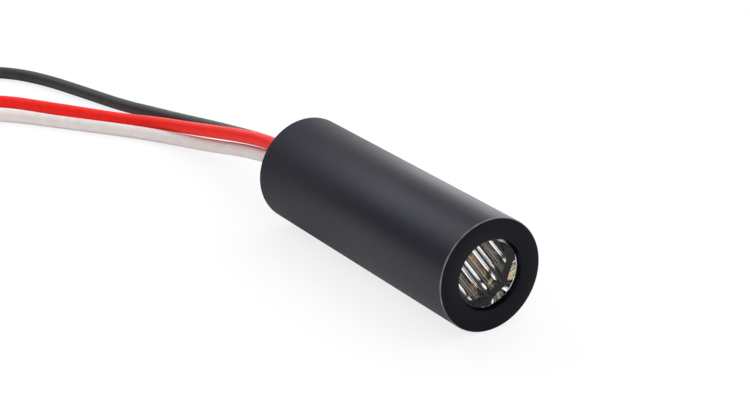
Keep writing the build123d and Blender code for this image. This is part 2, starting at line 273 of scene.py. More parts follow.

# %% [markdown]
# A painted highlight lies along the front edge: a paler grey, in patches, for the thin line of light
# that its chamfer catches. That edge can be found without painting it on: on this tube the place along
# the axis and the distance from it add up to the most there. The colour that the finish has so far is
# taken from the shader's own link and carried on through a Mix node. Such a node lists the sockets of
# all its data types, so those for colours are reached by their number.

# %% Mix helpers
MIX_FACTOR, MIX_FIRST, MIX_SECOND, MIX_RESULT = 0, 6, 7, 2


def so_far(shader, socket):
    """What one of the shader's sockets is linked to now."""
    return shader.inputs[socket].links[0].from_socket


def towards(tree, share, colour, other):
    """Goes from a linked colour to a plain one by a share."""
    node = tree.nodes.new("ShaderNodeMix")
    node.data_type = "RGBA"
    tree.links.new(share, node.inputs[MIX_FACTOR])
    tree.links.new(colour, node.inputs[MIX_FIRST])
    node.inputs[MIX_SECOND].default_value = (*other, 1.0)
    return node.outputs[MIX_RESULT]


# %% Painted highlight on the front edge
EDGE_CHAMFER = 0.1 * MM
HIGHLIGHT_WIDTH = 0.05 * MM
HIGHLIGHT_PATCH_SCALE = 700.0
HIGHLIGHT_SHARES = 0.25, 0.9
# painted highlight: a paler grey, in patches, along the front edge of the tube
HIGHLIGHT_GREY = (0.26, 0.26, 0.27)
tree, shader = inside(tube_black)
along_tube, from_axis = lathe_place(tree)
edge_at = FRONT_X + TUBE_RADIUS - EDGE_CHAMFER
edge_sum = maths(tree, "ADD", along_tube, from_axis)
on_edge = spread(tree, edge_sum, edge_at - HIGHLIGHT_WIDTH, edge_at)
# the mask of the painted highlight, made patchy by the grain
highlight_patches = between_values(tree, group_mask(tree, grain_group, HIGHLIGHT_PATCH_SCALE), *HIGHLIGHT_SHARES)
painted_highlight = maths(tree, "MULTIPLY", on_edge, highlight_patches)
dyed = so_far(shader, "Base Color")
tree.links.new(towards(tree, painted_highlight, dyed, HIGHLIGHT_GREY), shader.inputs["Base Color"])
print("wear starts where place and radius add up to, mm:", round((edge_at - HIGHLIGHT_WIDTH) / MM, 2))

# %% [markdown]
# In the picture the light on the tube gets softer and darker towards its back. A rougher surface
# spreads its light in that way, so the roughness grows from the middle of the tube to its rear.

# %% Duller rear
DULL_FROM_X = 4.0 * MM
DULL_ROUGHNESS = 0.26
dull = maths(tree, "MULTIPLY", spread(tree, along_tube, DULL_FROM_X, BACK_X), DULL_ROUGHNESS)
rough_along = maths(tree, "ADD", so_far(shader, "Roughness"), dull)
tree.links.new(rough_along, shader.inputs["Roughness"])
print("dull from x, mm:", round(DULL_FROM_X / MM, 1), "to", round(BACK_X / MM, 1))

# %% [markdown]
# Two bumps share the relief of the tube: the deeper grain of the blasting, and on top of it the
# faint rings of the lathe. A Bump node takes another one through its Normal socket.

# %% Relief of the tube
BLAST_SCALE, BLAST_DEPTH, BLAST_STRENGTH = 14000.0, 0.004 * MM, 0.7
RING_SCALE, RING_DEPTH, RING_STRENGTH = 7000.0, 0.0015 * MM, 0.5
blasted = relief(tree, group_mask(tree, grain_group, BLAST_SCALE), BLAST_DEPTH, BLAST_STRENGTH)
ring_mask = group_mask(tree, rings_group, RING_SCALE)
turned_normal = relief(tree, ring_mask, RING_DEPTH, RING_STRENGTH, under=blasted)
tree.links.new(turned_normal, shader.inputs["Normal"])
print("nodes in the tube's finish:", len(tree.nodes))

# %% [markdown]
# ## Turned pieces
# A lathe part is one outline turned round an axis, and bmesh has that as spin. The outline is a
# few points of place and radius. A full spin needs use_merge to close its seam, and the normals
# are recalculated because a spin can come out inside out. Edges that a file has broken are
# bevelled afterwards, so each outline keeps its plain corners.

# %% Lathe helpers
AROUND = 160
MERGE_WITHIN = 1e-7


def tidy_mesh(bm):
    """Merges doubled vertices, then turns all faces outwards."""
    bmesh.ops.remove_doubles(bm, verts=bm.verts[:], dist=MERGE_WITHIN)
    bmesh.ops.recalc_face_normals(bm, faces=bm.faces[:])


def turned(outline, steps=AROUND, closed=True):
    """Spins an outline of (x, radius) points round the beam axis."""
    bm = bmesh.new()
    corners = [bm.verts.new((x, 0.0, AXIS_Z + radius)) for x, radius in outline]
    following = corners[1:] + corners[:1] if closed else corners[1:]
    for first, second in zip(corners, following):
        bm.edges.new((first, second))
    bmesh.ops.spin(
        bm, geom=bm.verts[:] + bm.edges[:], cent=(0.0, 0.0, AXIS_Z), axis=(1.0, 0.0, 0.0),
        angle=tau, steps=steps, use_merge=True,
    )
    tidy_mesh(bm)
    return bm


# %% Edge helpers
SAME_PLACE = 1e-6


def radius_at(vert):
    """How far a vertex is from the beam axis."""
    return sqrt(vert.co.y ** 2 + (vert.co.z - AXIS_Z) ** 2)


def on_ring(vert, x, radius):
    """Whether a vertex lies on the circle at a place and a radius."""
    return abs(vert.co.x - x) < SAME_PLACE and abs(radius_at(vert) - radius) < SAME_PLACE


def break_edges(bm, rings, offset, segments):
    """Bevels the circles given as (x, radius)."""
    edges = [
        edge for x, radius in rings for edge in bm.edges
        if all(on_ring(vert, x, radius) for vert in edge.verts)
    ]
    bmesh.ops.bevel(
        bm, geom=edges, offset=offset, offset_type="OFFSET", affect="EDGES",
        segments=segments, profile=0.5, material=-1, clamp_overlap=True,
    )


# %% [markdown]
# Each bmesh becomes a piece in the same way: its mesh is shaded smooth, with sharp edges where
# two faces meet at more than a set angle, and it rides on the object's one body. Beside a narrow
# bevel, smooth shading would bend across the large flat faces. A Weighted Normal modifier lets
# the large faces decide there.

# %% Keep a piece
SHARP_ANGLE = radians(34.0)


def keep(bm, name, materials, stands_for):
    """Turns a bmesh into a finished piece that stands for CAD nodes."""
    mesh = bpy.data.meshes.new(name)
    bm.to_mesh(mesh)
    bm.free()
    mesh.shade_smooth()
    mesh.set_sharp_from_angle(angle=SHARP_ANGLE)
    for material in materials:
        mesh.materials.append(material)
    piece = bpy.data.objects.new(name, mesh)
    scene.collection.objects.link(piece)
    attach(piece, "root")
    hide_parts(*stands_for)
    print(name, "faces:", len(mesh.polygons))
    return piece


def even_normals(piece):
    """Lets large flat faces decide the shading next to narrow bevels."""
    modifier = piece.modifiers.new("even_normals", "WEIGHTED_NORMAL")
    modifier.keep_sharp = True


# %% [markdown]
# ## The tube
# The tube is the whole look of the object. Its outline runs along the outside, over the front
# face, down into the lens pocket, over the ledge that the lens sits on and back through the
# bore. The measures are those of the CAD model.

# %% Tube outline
POCKET_RADIUS = 3.75 * MM
BEAM_RADIUS = 3.25 * MM
BORE_RADIUS = 5.0 * MM
LENS_SEAT_X = 13.7 * MM
HOLDER_FRONT_X = 13.1 * MM
tube = turned([
    (BACK_X, BORE_RADIUS),
    (BACK_X, TUBE_RADIUS),
    (FRONT_X, TUBE_RADIUS),
    (FRONT_X, POCKET_RADIUS),
    (LENS_SEAT_X, POCKET_RADIUS),
    (LENS_SEAT_X, BEAM_RADIUS),
    (HOLDER_FRONT_X, BEAM_RADIUS),
    (HOLDER_FRONT_X, BORE_RADIUS),
])
print("lens pocket, mm deep:", round((FRONT_X - LENS_SEAT_X) / MM, 2))

# %% [markdown]
# The outer edges at both ends have a small chamfer, which catches a thin line of light, and the
# chamfer's own corners are softened once more. The front face and the pocket take the second, smoother
# black, which is darker as painted shade.

# %% Tube edges
POCKET_EDGE = 0.1 * MM
SOFTEN = 0.02 * MM
FLAT_CHAMFER = 1
ROUNDED = 2
break_edges(tube, [(BACK_X, TUBE_RADIUS), (FRONT_X, TUBE_RADIUS)], EDGE_CHAMFER, FLAT_CHAMFER)
break_edges(tube, [(FRONT_X, POCKET_RADIUS), (BACK_X, BORE_RADIUS)], POCKET_EDGE, ROUNDED)
chamfer_rings = [
    (FRONT_X, TUBE_RADIUS - EDGE_CHAMFER),
    (FRONT_X - EDGE_CHAMFER, TUBE_RADIUS),
    (BACK_X, TUBE_RADIUS - EDGE_CHAMFER),
    (BACK_X + EDGE_CHAMFER, TUBE_RADIUS),
]
break_edges(tube, chamfer_rings, SOFTEN, ROUNDED)
print("tube faces with broken edges:", len(tube.faces))

# %% Keep the tube
DYED, SHADED_FACE = range(2)
# the front face and the pocket get the painted shade
for face in tube.faces:
    middle_x = face.calc_center_median().x
    in_front = middle_x > FRONT_X - SOFTEN
    in_pocket = middle_x > HOLDER_FRONT_X and radius_at(face.verts[0]) < POCKET_RADIUS + POCKET_EDGE
    face.material_index = SHADED_FACE if in_front or in_pocket else DYED
even_normals(keep(tube, "turned_tube", [tube_black, face_black_painted_shade], ["housing"]))

# %% [markdown]
# ## The ribbed lens
# The lens is a clear moulded disc, flat in front. Its back carries round parallel ribs inside a
# plain rim, and they spread the beam into a line. From outside, the flanks of the ribs act as
# mirrors by total reflection, which gives the bright stripes. So the ribs have to be real and
# smooth. One rib's arc is a vertex spun about the rib's own centre line. The arcs are joined to
# one comb-shaped face, which is pulled along the ribs and cut out of the disc.

# %% Lens measures
LENS_RADIUS = 3.7 * MM
LENS_FACE_X = 17.0 * MM
LENS_BEVEL = 0.25 * MM
RIB_ZONE_RADIUS = 3.3 * MM
RIB_PITCH = 1.9 * MM
RIB_HEIGHT = 0.75 * MM
RIB_ROOT = 0.2 * MM
RIB_SETBACK = 0.06 * MM
RIB_ROLL = radians(36.6)
rib_half = (RIB_PITCH - RIB_ROOT) / 2
rib_radius = (rib_half ** 2 + RIB_HEIGHT ** 2) / (2 * RIB_HEIGHT)
groove_depth = RIB_SETBACK + RIB_HEIGHT
across_ribs = Vector((0.0, cos(RIB_ROLL), sin(RIB_ROLL)))
along_ribs = Vector((0.0, -sin(RIB_ROLL), cos(RIB_ROLL)))
seat_centre = Vector((LENS_SEAT_X, 0.0, AXIS_Z))
inwards = Vector((1.0, 0.0, 0.0))
print("rib radius, mm:", round(rib_radius / MM, 3))

# %% Rib arcs
RIB_PAIRS = 2
RIB_STEPS = 96
half_arc = asin(rib_half / rib_radius)


def place_across(vert):
    """How far along the row of ribs a vertex is."""
    return vert.co.dot(across_ribs)


cutter = bmesh.new()
arc_ends = []
for number in range(-RIB_PAIRS, RIB_PAIRS + 1):
    centre = seat_centre + across_ribs * number * RIB_PITCH + inwards * (RIB_SETBACK + rib_radius)
    crest = centre - inwards * rib_radius
    flank = Matrix.Rotation(-half_arc, 3, along_ribs) @ (crest - centre)
    start = cutter.verts.new(centre + flank)
    arc = bmesh.ops.spin(
        cutter, geom=[start], cent=centre, axis=along_ribs, angle=2 * half_arc, steps=RIB_STEPS,
    )
    end = [item for item in arc["geom_last"] if isinstance(item, bmesh.types.BMVert)][0]
    arc_ends.append(sorted((start, end), key=place_across))
print("rib arcs:", len(arc_ends))

# %% Groove cutter
BEHIND_SEAT = 1.0 * MM
CUTTER_REACH = 1.2
for (_, last), (first, _) in zip(arc_ends, arc_ends[1:]):
    cutter.edges.new((last, first))
lids = []
for outer in (arc_ends[0][0], arc_ends[-1][1]):
    lid = cutter.verts.new(outer.co - inwards * (groove_depth + BEHIND_SEAT))
    cutter.edges.new((outer, lid))
    lids.append(lid)
cutter.edges.new(lids)
reach = along_ribs * LENS_RADIUS * CUTTER_REACH
bmesh.ops.translate(cutter, verts=cutter.verts[:], vec=-reach)
comb = bmesh.ops.contextual_create(cutter, geom=cutter.edges[:])["faces"]
pulled = bmesh.ops.extrude_face_region(cutter, geom=comb)
far_end = [item for item in pulled["geom"] if isinstance(item, bmesh.types.BMVert)]
bmesh.ops.translate(cutter, verts=far_end, vec=2 * reach)
bmesh.ops.recalc_face_normals(cutter, faces=cutter.faces[:])
print("cutter faces:", len(cutter.faces))


# %% [markdown]
# The cutter must stop at the plain rim, so it is first cut down to a round zone, and then taken
# out of the disc. Both cuts are exact booleans on helper objects. Their result is read once
# from the evaluated disc, and the helpers are removed.

# %% Cut helpers
def helper_object(bm, name):
    """An object for a cut, which is removed afterwards."""
    mesh = bpy.data.meshes.new(name)
    bm.to_mesh(mesh)
    bm.free()
    helper = bpy.data.objects.new(name, mesh)
    scene.collection.objects.link(helper)
    return helper


def cut(target, tool, operation):
    """Adds an exact boolean of one object by another."""
    modifier = target.modifiers.new("cut", "BOOLEAN")
    modifier.operation = operation
    modifier.solver = "EXACT"
    modifier.object = tool


# %% Lens blank and rib zone
LENS_BEVEL_SEGMENTS = 5
zone_back_x = LENS_SEAT_X - 2 * BEHIND_SEAT
zone_front_x = LENS_SEAT_X + 2 * RIB_HEIGHT
zone = turned([
    (zone_back_x, 0.0),
    (zone_back_x, RIB_ZONE_RADIUS),
    (zone_front_x, RIB_ZONE_RADIUS),
    (zone_front_x, 0.0),
], closed=False)
disc = turned([
    (LENS_SEAT_X, 0.0),
    (LENS_SEAT_X, LENS_RADIUS),
    (LENS_FACE_X, LENS_RADIUS),
    (LENS_FACE_X, 0.0),
], closed=False)
break_edges(disc, [(LENS_FACE_X, LENS_RADIUS)], LENS_BEVEL, LENS_BEVEL_SEGMENTS)
print("faces of the blank and the zone:", len(disc.faces), len(zone.faces))

# %% Cut the lens
disc_object = helper_object(disc, "lens_blank")
zone_object = helper_object(zone, "rib_zone")
cutter_object = helper_object(cutter, "rib_cutter")
cut(cutter_object, zone_object, "INTERSECT")
cut(disc_object, cutter_object, "DIFFERENCE")
lens = bmesh.new()
lens.from_mesh(disc_object.evaluated_get(bpy.context.evaluated_depsgraph_get()).to_mesh())
for helper in (disc_object, zone_object, cutter_object):
    bpy.data.objects.remove(helper)
tidy_mesh(lens)
print("lens faces after the cut:", len(lens.faces))

# %% [markdown]
# ## Finishes of the lens
# The moulded faces are not alike, so the lens has five finishes. Its front is polished. The picture
# shows deep darks behind it, so it is taken to be coated: a grey Specular Tint makes it mirror little.
# The ribs are clear, but carry fine marks along their crests, as a milled mould leaves them, and some
# lines on the crests are pale and opaque. The narrow floor of each groove is an opaque dark strip,
# painted shade that parts the bright stripes. The bevel is opaque and near black, painted shade, with
# white patches that are painted glints on the rim.

# %% Clear faces
CLEAR_TINTS = (0.985, 0.99, 0.985), (0.995, 0.995, 0.995)
ACRYLIC = {"Transmission_Weight": 1.0, "IOR": 1.49}
polished_acrylic = finish(
    "clear_acrylic", CLEAR_TINTS, (0.0, 0.01), scale=600.0,
    Specular_Tint=(0.45, 0.45, 0.45, 1.0), **ACRYLIC,
)
ribbed_acrylic = finish("ribbed_acrylic", None, (0.0, 0.02), scale=900.0, **ACRYLIC)
print("clear finishes:", polished_acrylic.name, ribbed_acrylic.name)

# %% [markdown]
# The marks run along the ribs, so they come from a noise that changes across them only. A
# PINGPONG node folds the place across the ribs at every crest and groove, which gives the
# distance from the nearest crest. The marks keep to the crests, because the flanks have to stay
# clean to reflect.

# %% Marks on the crests
CREST_HALF = 0.30 * MM
CREST_FADE = 0.10 * MM
FLANK_FROM = 0.45 * MM
STREAK_SCALE = 4500.0
STREAK_DEPTH = 0.030 * MM
STREAK_EDGE = 0.40, 0.55
DUSTY, CLEAN = (0.06, 0.055, 0.05), (1.0, 1.0, 1.0)
tree, shader = inside(ribbed_acrylic)
measure = tree.nodes.new("ShaderNodeVectorMath")
measure.operation = "DOT_PRODUCT"
measure.inputs[1].default_value = across_ribs
tree.links.new(own_place(tree), measure.inputs[0])
across = maths(tree, "SUBTRACT", measure.outputs["Value"], AXIS_Z * across_ribs.z)
from_crest = maths(tree, "PINGPONG", across, RIB_PITCH / 2)
streaks = line_noise(tree, across, STREAK_SCALE)
on_crest = spread(tree, from_crest, CREST_HALF + CREST_FADE, CREST_HALF)
marks = maths(tree, "MULTIPLY", streaks, on_crest)
tree.links.new(relief(tree, marks, STREAK_DEPTH), shader.inputs["Normal"])
on_flank = spread(tree, from_crest, FLANK_FROM, FLANK_FROM + CREST_FADE)
clear = maths(tree, "MAXIMUM", spread(tree, streaks, *STREAK_EDGE), on_flank)
tree.links.new(between_colours(tree, clear, DUSTY, CLEAN), shader.inputs["Base Color"])
print("nodes in the ribs' finish:", len(tree.nodes))

# %% Pale lines, painted shade and painted glints
# painted shade and painted glints on the bevel: near black, with white patches for the bright bits of
# rim
BEVEL_SHADE, BEVEL_GLINT = (0.02, 0.02, 0.02), (0.95, 0.94, 0.92)
bevel_shade_and_glints = finish(
    "bevel_shade_and_glints", (BEVEL_SHADE, BEVEL_GLINT), (0.35, 0.55), scale=420.0, depth=0.004 * MM,
    patchy=(0.50, 0.75),
)
# pale opaque lines on some of the crests
pale_line_acrylic = finish(
    "pale_line_acrylic", ((0.70, 0.66, 0.60), (0.88, 0.85, 0.80)), (0.35, 0.50),
    scale=1500.0, depth=0.004 * MM,
)
# painted shade: an opaque dark strip on each groove floor, for the dark line between the bright
# stripes
painted_groove_shade = finish(
    "painted_groove_shade", ((0.004, 0.004, 0.004), (0.010, 0.010, 0.009)), (0.40, 0.60), scale=3000.0,
)
print("ground and dark finishes:", bevel_shade_and_glints.name, pale_line_acrylic.name, painted_groove_shade.name)

# %% Keep the lens
POLISHED, RIBBED, PAINTED_BEVEL, PALE_LINE, PAINTED_GROOVE_SHADE = range(5)
GROOVE_FROM = 0.855 * MM
LINE_WIDTH = 0.06 * MM
LINE_EVERY = 4
SIDEWAYS_LIMIT = 0.5
FRONTAL_LIMIT = 0.99


def rib_finish(across_seat):
    """The finish of a rib's face by its place across the row of ribs."""
    beside_crest = abs(across_seat - round(across_seat / RIB_PITCH) * RIB_PITCH)
    # the groove floors get the painted shade
    if beside_crest > GROOVE_FROM:
        return PAINTED_GROOVE_SHADE
    on_line = int(across_seat / LINE_WIDTH) % LINE_EVERY == 1
    return PALE_LINE if on_line and beside_crest < CREST_HALF else RIBBED


for face in lens.faces:
    centre = face.calc_center_median()
    in_depth = centre.x < LENS_SEAT_X + groove_depth + SOFTEN and face.normal.x < SIDEWAYS_LIMIT
    if in_depth and radius_at(face.verts[0]) < RIB_ZONE_RADIUS + SOFTEN:
        face.material_index = rib_finish((centre - seat_centre).dot(across_ribs))
    # the bevel gets the painted shade and glints
    elif centre.x > LENS_FACE_X - LENS_BEVEL and face.normal.x < FRONTAL_LIMIT:
        face.material_index = PAINTED_BEVEL
    else:
        face.material_index = POLISHED
keep(
    lens, "ribbed_lens",
    [polished_acrylic, ribbed_acrylic, bevel_shade_and_glints, pale_line_acrylic, painted_groove_shade],
    ["line_lens"],
)

# %% [markdown]
# ## The leads
# Three thin insulated leads leave the back, sink to the table under their own weight and run away side
# by side until they fan out. Each is one smooth NURBS curve. Its control points are the route of the
# CAD tube, in millimetres. The first bends of the red lead, and most points of the white one before
# its curl, are moved by up to 1.2 mm, so that the two lie against each other as in the picture. Each
# curve starts inside the tube, at the driver board.

# %% Lead routes
LEAD_RADIUS = 0.8 * MM
LEAD_START_X = -7.6 * MM
ROUTES = {
    "red": [
        (-17.1, -0.655, 6.85), (-21.6, -0.35, 7.1), (-27.0, 0.1, 6.45), (-33.2, 0.15, 5.2),
        (-38.9, -0.15, 4.0), (-45.3, -0.8, 2.75), (-51.6, -1.5, 1.6), (-56.8, -3.6, 0.9),
        (-62.0, -6.65, 0.8), (-67.1, -10.0, 0.8), (-71.9, -13.1, 0.8), (-75.2, -17.9, 0.8),
        (-77.0, -22.7, 0.8), (-76.9, -27.6, 0.8), (-74.8, -32.2, 0.8), (-71.0, -35.6, 0.8),
        (-66.3, -36.9, 0.8),
    ],
    "white": [
        (-17.1, -0.655, 5.15), (-21.6, -0.4, 5.35), (-27.0, 0.1, 4.6), (-32.8, 0.2, 3.45),
        (-38.1, -0.05, 2.25), (-43.6, -0.9, 1.35), (-48.4, -2.35, 0.9), (-52.4, -4.6, 0.8),
        (-56.9, -7.95, 0.8), (-61.5, -11.35, 0.8), (-65.8, -14.6, 0.8), (-70.1, -19.4, 0.8),
        (-72.2, -25.1, 0.8), (-70.8, -30.1, 0.8), (-66.6, -33.35, 0.8), (-61.3, -33.4, 0.8),
        (-57.1, -30.25, 0.8), (-54.9, -27.3, 0.8),
    ],
    "black": [
        (-17.1, 1.155, 6.0), (-21.6, 1.155, 6.0), (-29.3, 1.95, 5.2), (-36.3, 1.85, 4.15),
        (-42.5, 1.7, 3.15), (-49.3, 1.05, 2.15), (-56.1, 0.25, 1.3), (-62.1, -1.2, 0.85),
        (-70.0, -3.1, 0.8), (-77.6, -5.2, 0.8), (-83.2, -8.1, 0.8), (-86.9, -13.3, 0.8),
        (-88.4, -19.3, 0.8), (-87.6, -25.0, 0.8), (-85.9, -28.2, 0.8),
    ],
}
print("route points:", {colour: len(points) for colour, points in ROUTES.items()})

# %% [markdown]
# The insulation is soft moulded plastic with a dull skin: an even colour, a fine grain and
# little gloss, least of all on the red. One loop makes all three from their two shades.

# %% Lead finishes
LEAD_SHADES = {
    "red": ((0.83, 0.014, 0.009), (0.90, 0.021, 0.014)),
    "white": ((0.70, 0.630, 0.605), (0.76, 0.690, 0.665)),
    "black": ((0.022, 0.023, 0.022), (0.034, 0.035, 0.034)),
}
LEAD_GLOSS = {"red": 0.12, "white": 0.3, "black": 0.3}
lead_finishes = {
    colour: finish(
        colour + "_insulation", shades, (0.42, 0.54), scale=900.0, depth=0.004 * MM,
        Specular_IOR_Level=LEAD_GLOSS[colour],
    )
    for colour, shades in LEAD_SHADES.items()
}
tinned = finish(
    "tinned_strands", ((0.62, 0.61, 0.59), (0.78, 0.77, 0.75)), (0.22, 0.42),
    scale=5000.0, depth=0.006 * MM, Metallic=1.0,
)
print("lead finishes:", [material.name for material in lead_finishes.values()])

# %% [markdown]
# ## Stripped ends
# The far ends are stripped and tinned: seven fine wires twisted together, with solder between
# them. Spin can climb while it turns, so one call with a step along the axis makes the whole
# twisted bundle from seven circles. Their open ends are filled afterwards.

# %% Strand helper
STRAND_RADIUS = 0.127 * MM
STRAND_SIDES = 10
STRANDS_AROUND = 6
TIP_LENGTH = 4.5 * MM
TIP_INSIDE = 0.3 * MM
TWIST_TURN = radians(260.0)
TWIST_STEPS = 36


def twisted_end(end, heading):
    """Seven strands that run from inside the lead's end along its heading."""
    bm = bmesh.new()
    start = end - heading * TIP_INSIDE
    place = Matrix.Translation(start) @ heading.to_track_quat("Z", "Y").to_matrix().to_4x4()
    offsets = [Vector((0.0, 0.0, 0.0))]
    for number in range(STRANDS_AROUND):
        turn = tau * number / STRANDS_AROUND
        offsets.append(Vector((cos(turn), sin(turn), 0.0)) * 2 * STRAND_RADIUS)
    for offset in offsets:
        bmesh.ops.create_circle(
            bm, segments=STRAND_SIDES, radius=STRAND_RADIUS, matrix=place @ Matrix.Translation(offset),
        )
    step = heading * (TIP_LENGTH + TIP_INSIDE) / TWIST_STEPS
    bmesh.ops.spin(
        bm, geom=bm.verts[:] + bm.edges[:], cent=start, axis=heading, dvec=step,
        angle=TWIST_TURN, steps=TWIST_STEPS,
    )
    bmesh.ops.holes_fill(bm, edges=[edge for edge in bm.edges if edge.is_boundary], sides=0)
    bmesh.ops.recalc_face_normals(bm, faces=bm.faces[:])
    return bm


# %% [markdown]
# The curve's own bevel gives a lead its round section. The order and the end points of the spline
# are set after its points are added, because set before, they leave straight runs.

# %% Lead helper
SPLINE_ORDER = 3
SPLINE_STEPS = 10
SECTION_STEPS = 6


def lead_curve(name, route, material):
    """A round lead along one smooth line."""
    curve = bpy.data.curves.new(name, "CURVE")
    curve.dimensions = "3D"
    spline = curve.splines.new("NURBS")
    spline.points.add(len(route) - 1)
    for control, point in zip(spline.points, route):
        control.co = (*point, 1.0)
    spline.order_u = SPLINE_ORDER
    spline.use_endpoint_u = True
    spline.resolution_u = SPLINE_STEPS
    curve.bevel_depth = LEAD_RADIUS
    curve.bevel_resolution = SECTION_STEPS
    curve.use_fill_caps = True
    curve.materials.append(material)
    wire = bpy.data.objects.new(name, curve)
    scene.collection.objects.link(wire)
    return wire


# %% Make the leads
for colour, points in ROUTES.items():
    route = [Vector(point) * MM for point in points]
    route.insert(0, Vector((LEAD_START_X, route[0].y, route[0].z)))
    wire = lead_curve(colour + "_wire", route, lead_finishes[colour])
    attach(wire, "root")
    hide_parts(colour + "_lead")
    heading = (route[-1] - route[-2]).normalized()
    strands = keep(
        twisted_end(route[-1], heading), colour + "_strands", [tinned],
        [colour + "_tip"],
    )

# %% [markdown]
# ## The plug and its resin
# A moulded ring closes the back of the tube, and dark resin fills its hole round the leads.
# Resin creeps up whatever it wets, so its surface stands higher next to each lead and next to
# the ring. The outline has many points across the back face, and after the spin those points
# are raised by their distance from the leads and from the ring.

# %% Plug
PLUG_BACK_X = -17.1 * MM
PLUG_FRONT_X = -14.6 * MM
PLUG_RADIUS = 4.98 * MM
PLUG_EDGE_SEGMENTS = 3
SEAL_RADIUS = (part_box("lead_seal")[1].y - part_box("lead_seal")[0].y) / 2
plug_plastic = finish(
    "plug_black", ((0.012, 0.012, 0.012), (0.022, 0.022, 0.023)), (0.42, 0.58),
    scale=6000.0, depth=0.010 * MM,
)
plug = turned([
    (PLUG_BACK_X, SEAL_RADIUS),
    (PLUG_BACK_X, PLUG_RADIUS),
    (PLUG_FRONT_X, PLUG_RADIUS),
    (PLUG_FRONT_X, SEAL_RADIUS),
])
plug_edges = [(PLUG_BACK_X, SEAL_RADIUS), (PLUG_BACK_X, PLUG_RADIUS)]
break_edges(plug, plug_edges, EDGE_CHAMFER, PLUG_EDGE_SEGMENTS)
even_normals(keep(plug, "moulded_plug", [plug_plastic], ["rear_plug"]))

# %% Resin
RESIN_BACK_X = -17.0 * MM
RESIN_RINGS = 26
RESIN_AROUND = 96
CREEP_HEIGHT = 0.35 * MM
CREEP_REACH = 0.22 * MM
RING_CREEP = 0.5
resin_black = finish(
    "epoxy_black", ((0.010, 0.010, 0.011), (0.016, 0.016, 0.016)), (0.10, 0.24),
    scale=1800.0, depth=0.004 * MM,
)
across_back = [
    (RESIN_BACK_X, SEAL_RADIUS * (1.0 - ring / RESIN_RINGS)) for ring in range(RESIN_RINGS + 1)
]
resin_outline = [(PLUG_FRONT_X, 0.0), (PLUG_FRONT_X, SEAL_RADIUS)] + across_back
resin = turned(resin_outline, steps=RESIN_AROUND, closed=False)
lead_lanes = [Vector(points[0][1:]) * MM for points in ROUTES.values()]
for vert in resin.verts:
    if abs(vert.co.x - RESIN_BACK_X) < SAME_PLACE:
        from_lead = min((vert.co.yz - lane).length for lane in lead_lanes) - LEAD_RADIUS
        from_ring = SEAL_RADIUS - radius_at(vert)
        creep = exp(-max(from_lead, 0.0) / CREEP_REACH) + RING_CREEP * exp(-from_ring / CREEP_REACH)
        vert.co.x -= CREEP_HEIGHT * min(creep, 1.0)
keep(resin, "resin_fill", [resin_black], ["lead_seal"])


# %% [markdown]
# ## Brass, glass and the driver inside
# Behind the lens sit a brass holder and a slotted brass cell with the small collimating lens.
# They are seen only as warm glints through the ribs, and the rest of the inside is not seen at
# all, so the CAD solids stay and only get finishes.

# %% Metal and glass inside
def dress(material, *names):
    """Gives a finish to CAD nodes that stay."""
    for name in names:
        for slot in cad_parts[name].material_slots:
            slot.material = material
    print(material.name, "on", ", ".join(names))


brass = finish(
    "brass", ((0.78, 0.60, 0.33), (0.92, 0.76, 0.48)), (0.16, 0.30),
    scale=9000.0, depth=0.0015 * MM, group=rings_group, Metallic=1.0,
)
optical_glass = finish(
    "optical_glass", ((0.97, 0.98, 0.98), (0.99, 0.99, 0.99)), (0.0, 0.01),
    scale=500.0, Transmission_Weight=1.0, IOR=1.62,
)
nickel = finish(
    "nickel_plate", ((0.55, 0.54, 0.50), (0.68, 0.66, 0.62)), (0.22, 0.36),
    scale=4000.0, depth=0.003 * MM, Metallic=1.0,
)
gold = finish(
    "gold_plate", ((0.80, 0.58, 0.22), (0.90, 0.70, 0.33)), (0.18, 0.32),
    scale=4000.0, depth=0.003 * MM, Metallic=1.0,
)
dress(brass, "diode_holder", "collimator_cell", "lens_retainer")
dress(optical_glass, "collimator_lens", "diode_window")
dress(nickel, "diode_cap", "laser_submount")
dress(gold, "diode_header", "diode_pins")
dress(tinned, "transistor_legs", "solder_joints", "soldered_cores")

# %% Driver and sleeve
chip_dark = finish(
    "chip_dark", ((0.03, 0.03, 0.04), (0.06, 0.06, 0.07)), (0.15, 0.30), scale=20000.0,
)
board_green = finish(
    "board_green", ((0.010, 0.090, 0.035), (0.020, 0.130, 0.055)), (0.25, 0.40),
    scale=3000.0, depth=0.004 * MM,
)
component_black = finish(
    "component_black", ((0.018, 0.018, 0.018), (0.030, 0.030, 0.030)), (0.50, 0.65),
    scale=9000.0, depth=0.004 * MM,
)
component_tan = finish(
    "component_tan", ((0.34, 0.24, 0.15), (0.44, 0.32, 0.21)), (0.40, 0.55),
    scale=9000.0, depth=0.004 * MM,
)
component_white = finish(
    "component_white", ((0.66, 0.65, 0.60), (0.76, 0.75, 0.71)), (0.35, 0.50),
    scale=5000.0, depth=0.003 * MM,
)
sleeve_film = finish(
    "sleeve_film", ((0.50, 0.30, 0.10), (0.60, 0.38, 0.15)), (0.30, 0.45),
    scale=1500.0, depth=0.004 * MM,
)
dress(chip_dark, "laser_chip")
dress(board_green, "driver_board")
dress(component_black, "chip_resistors", "driver_transistor", "pin_seals")
dress(component_tan, "ceramic_capacitors")
dress(component_white, "trimmer_body", "trimmer_rotor")
dress(sleeve_film, "insulating_sleeve")

# %% [markdown]
# ## The table
# The object lies on a white table. Light Path lets the table show itself white to the camera and
# to rays through the lens, while a part of it stays an ordinary surface and takes a soft shadow.
# In satin metal it is mirrored mostly as that ordinary surface, so the tube stays dark below.

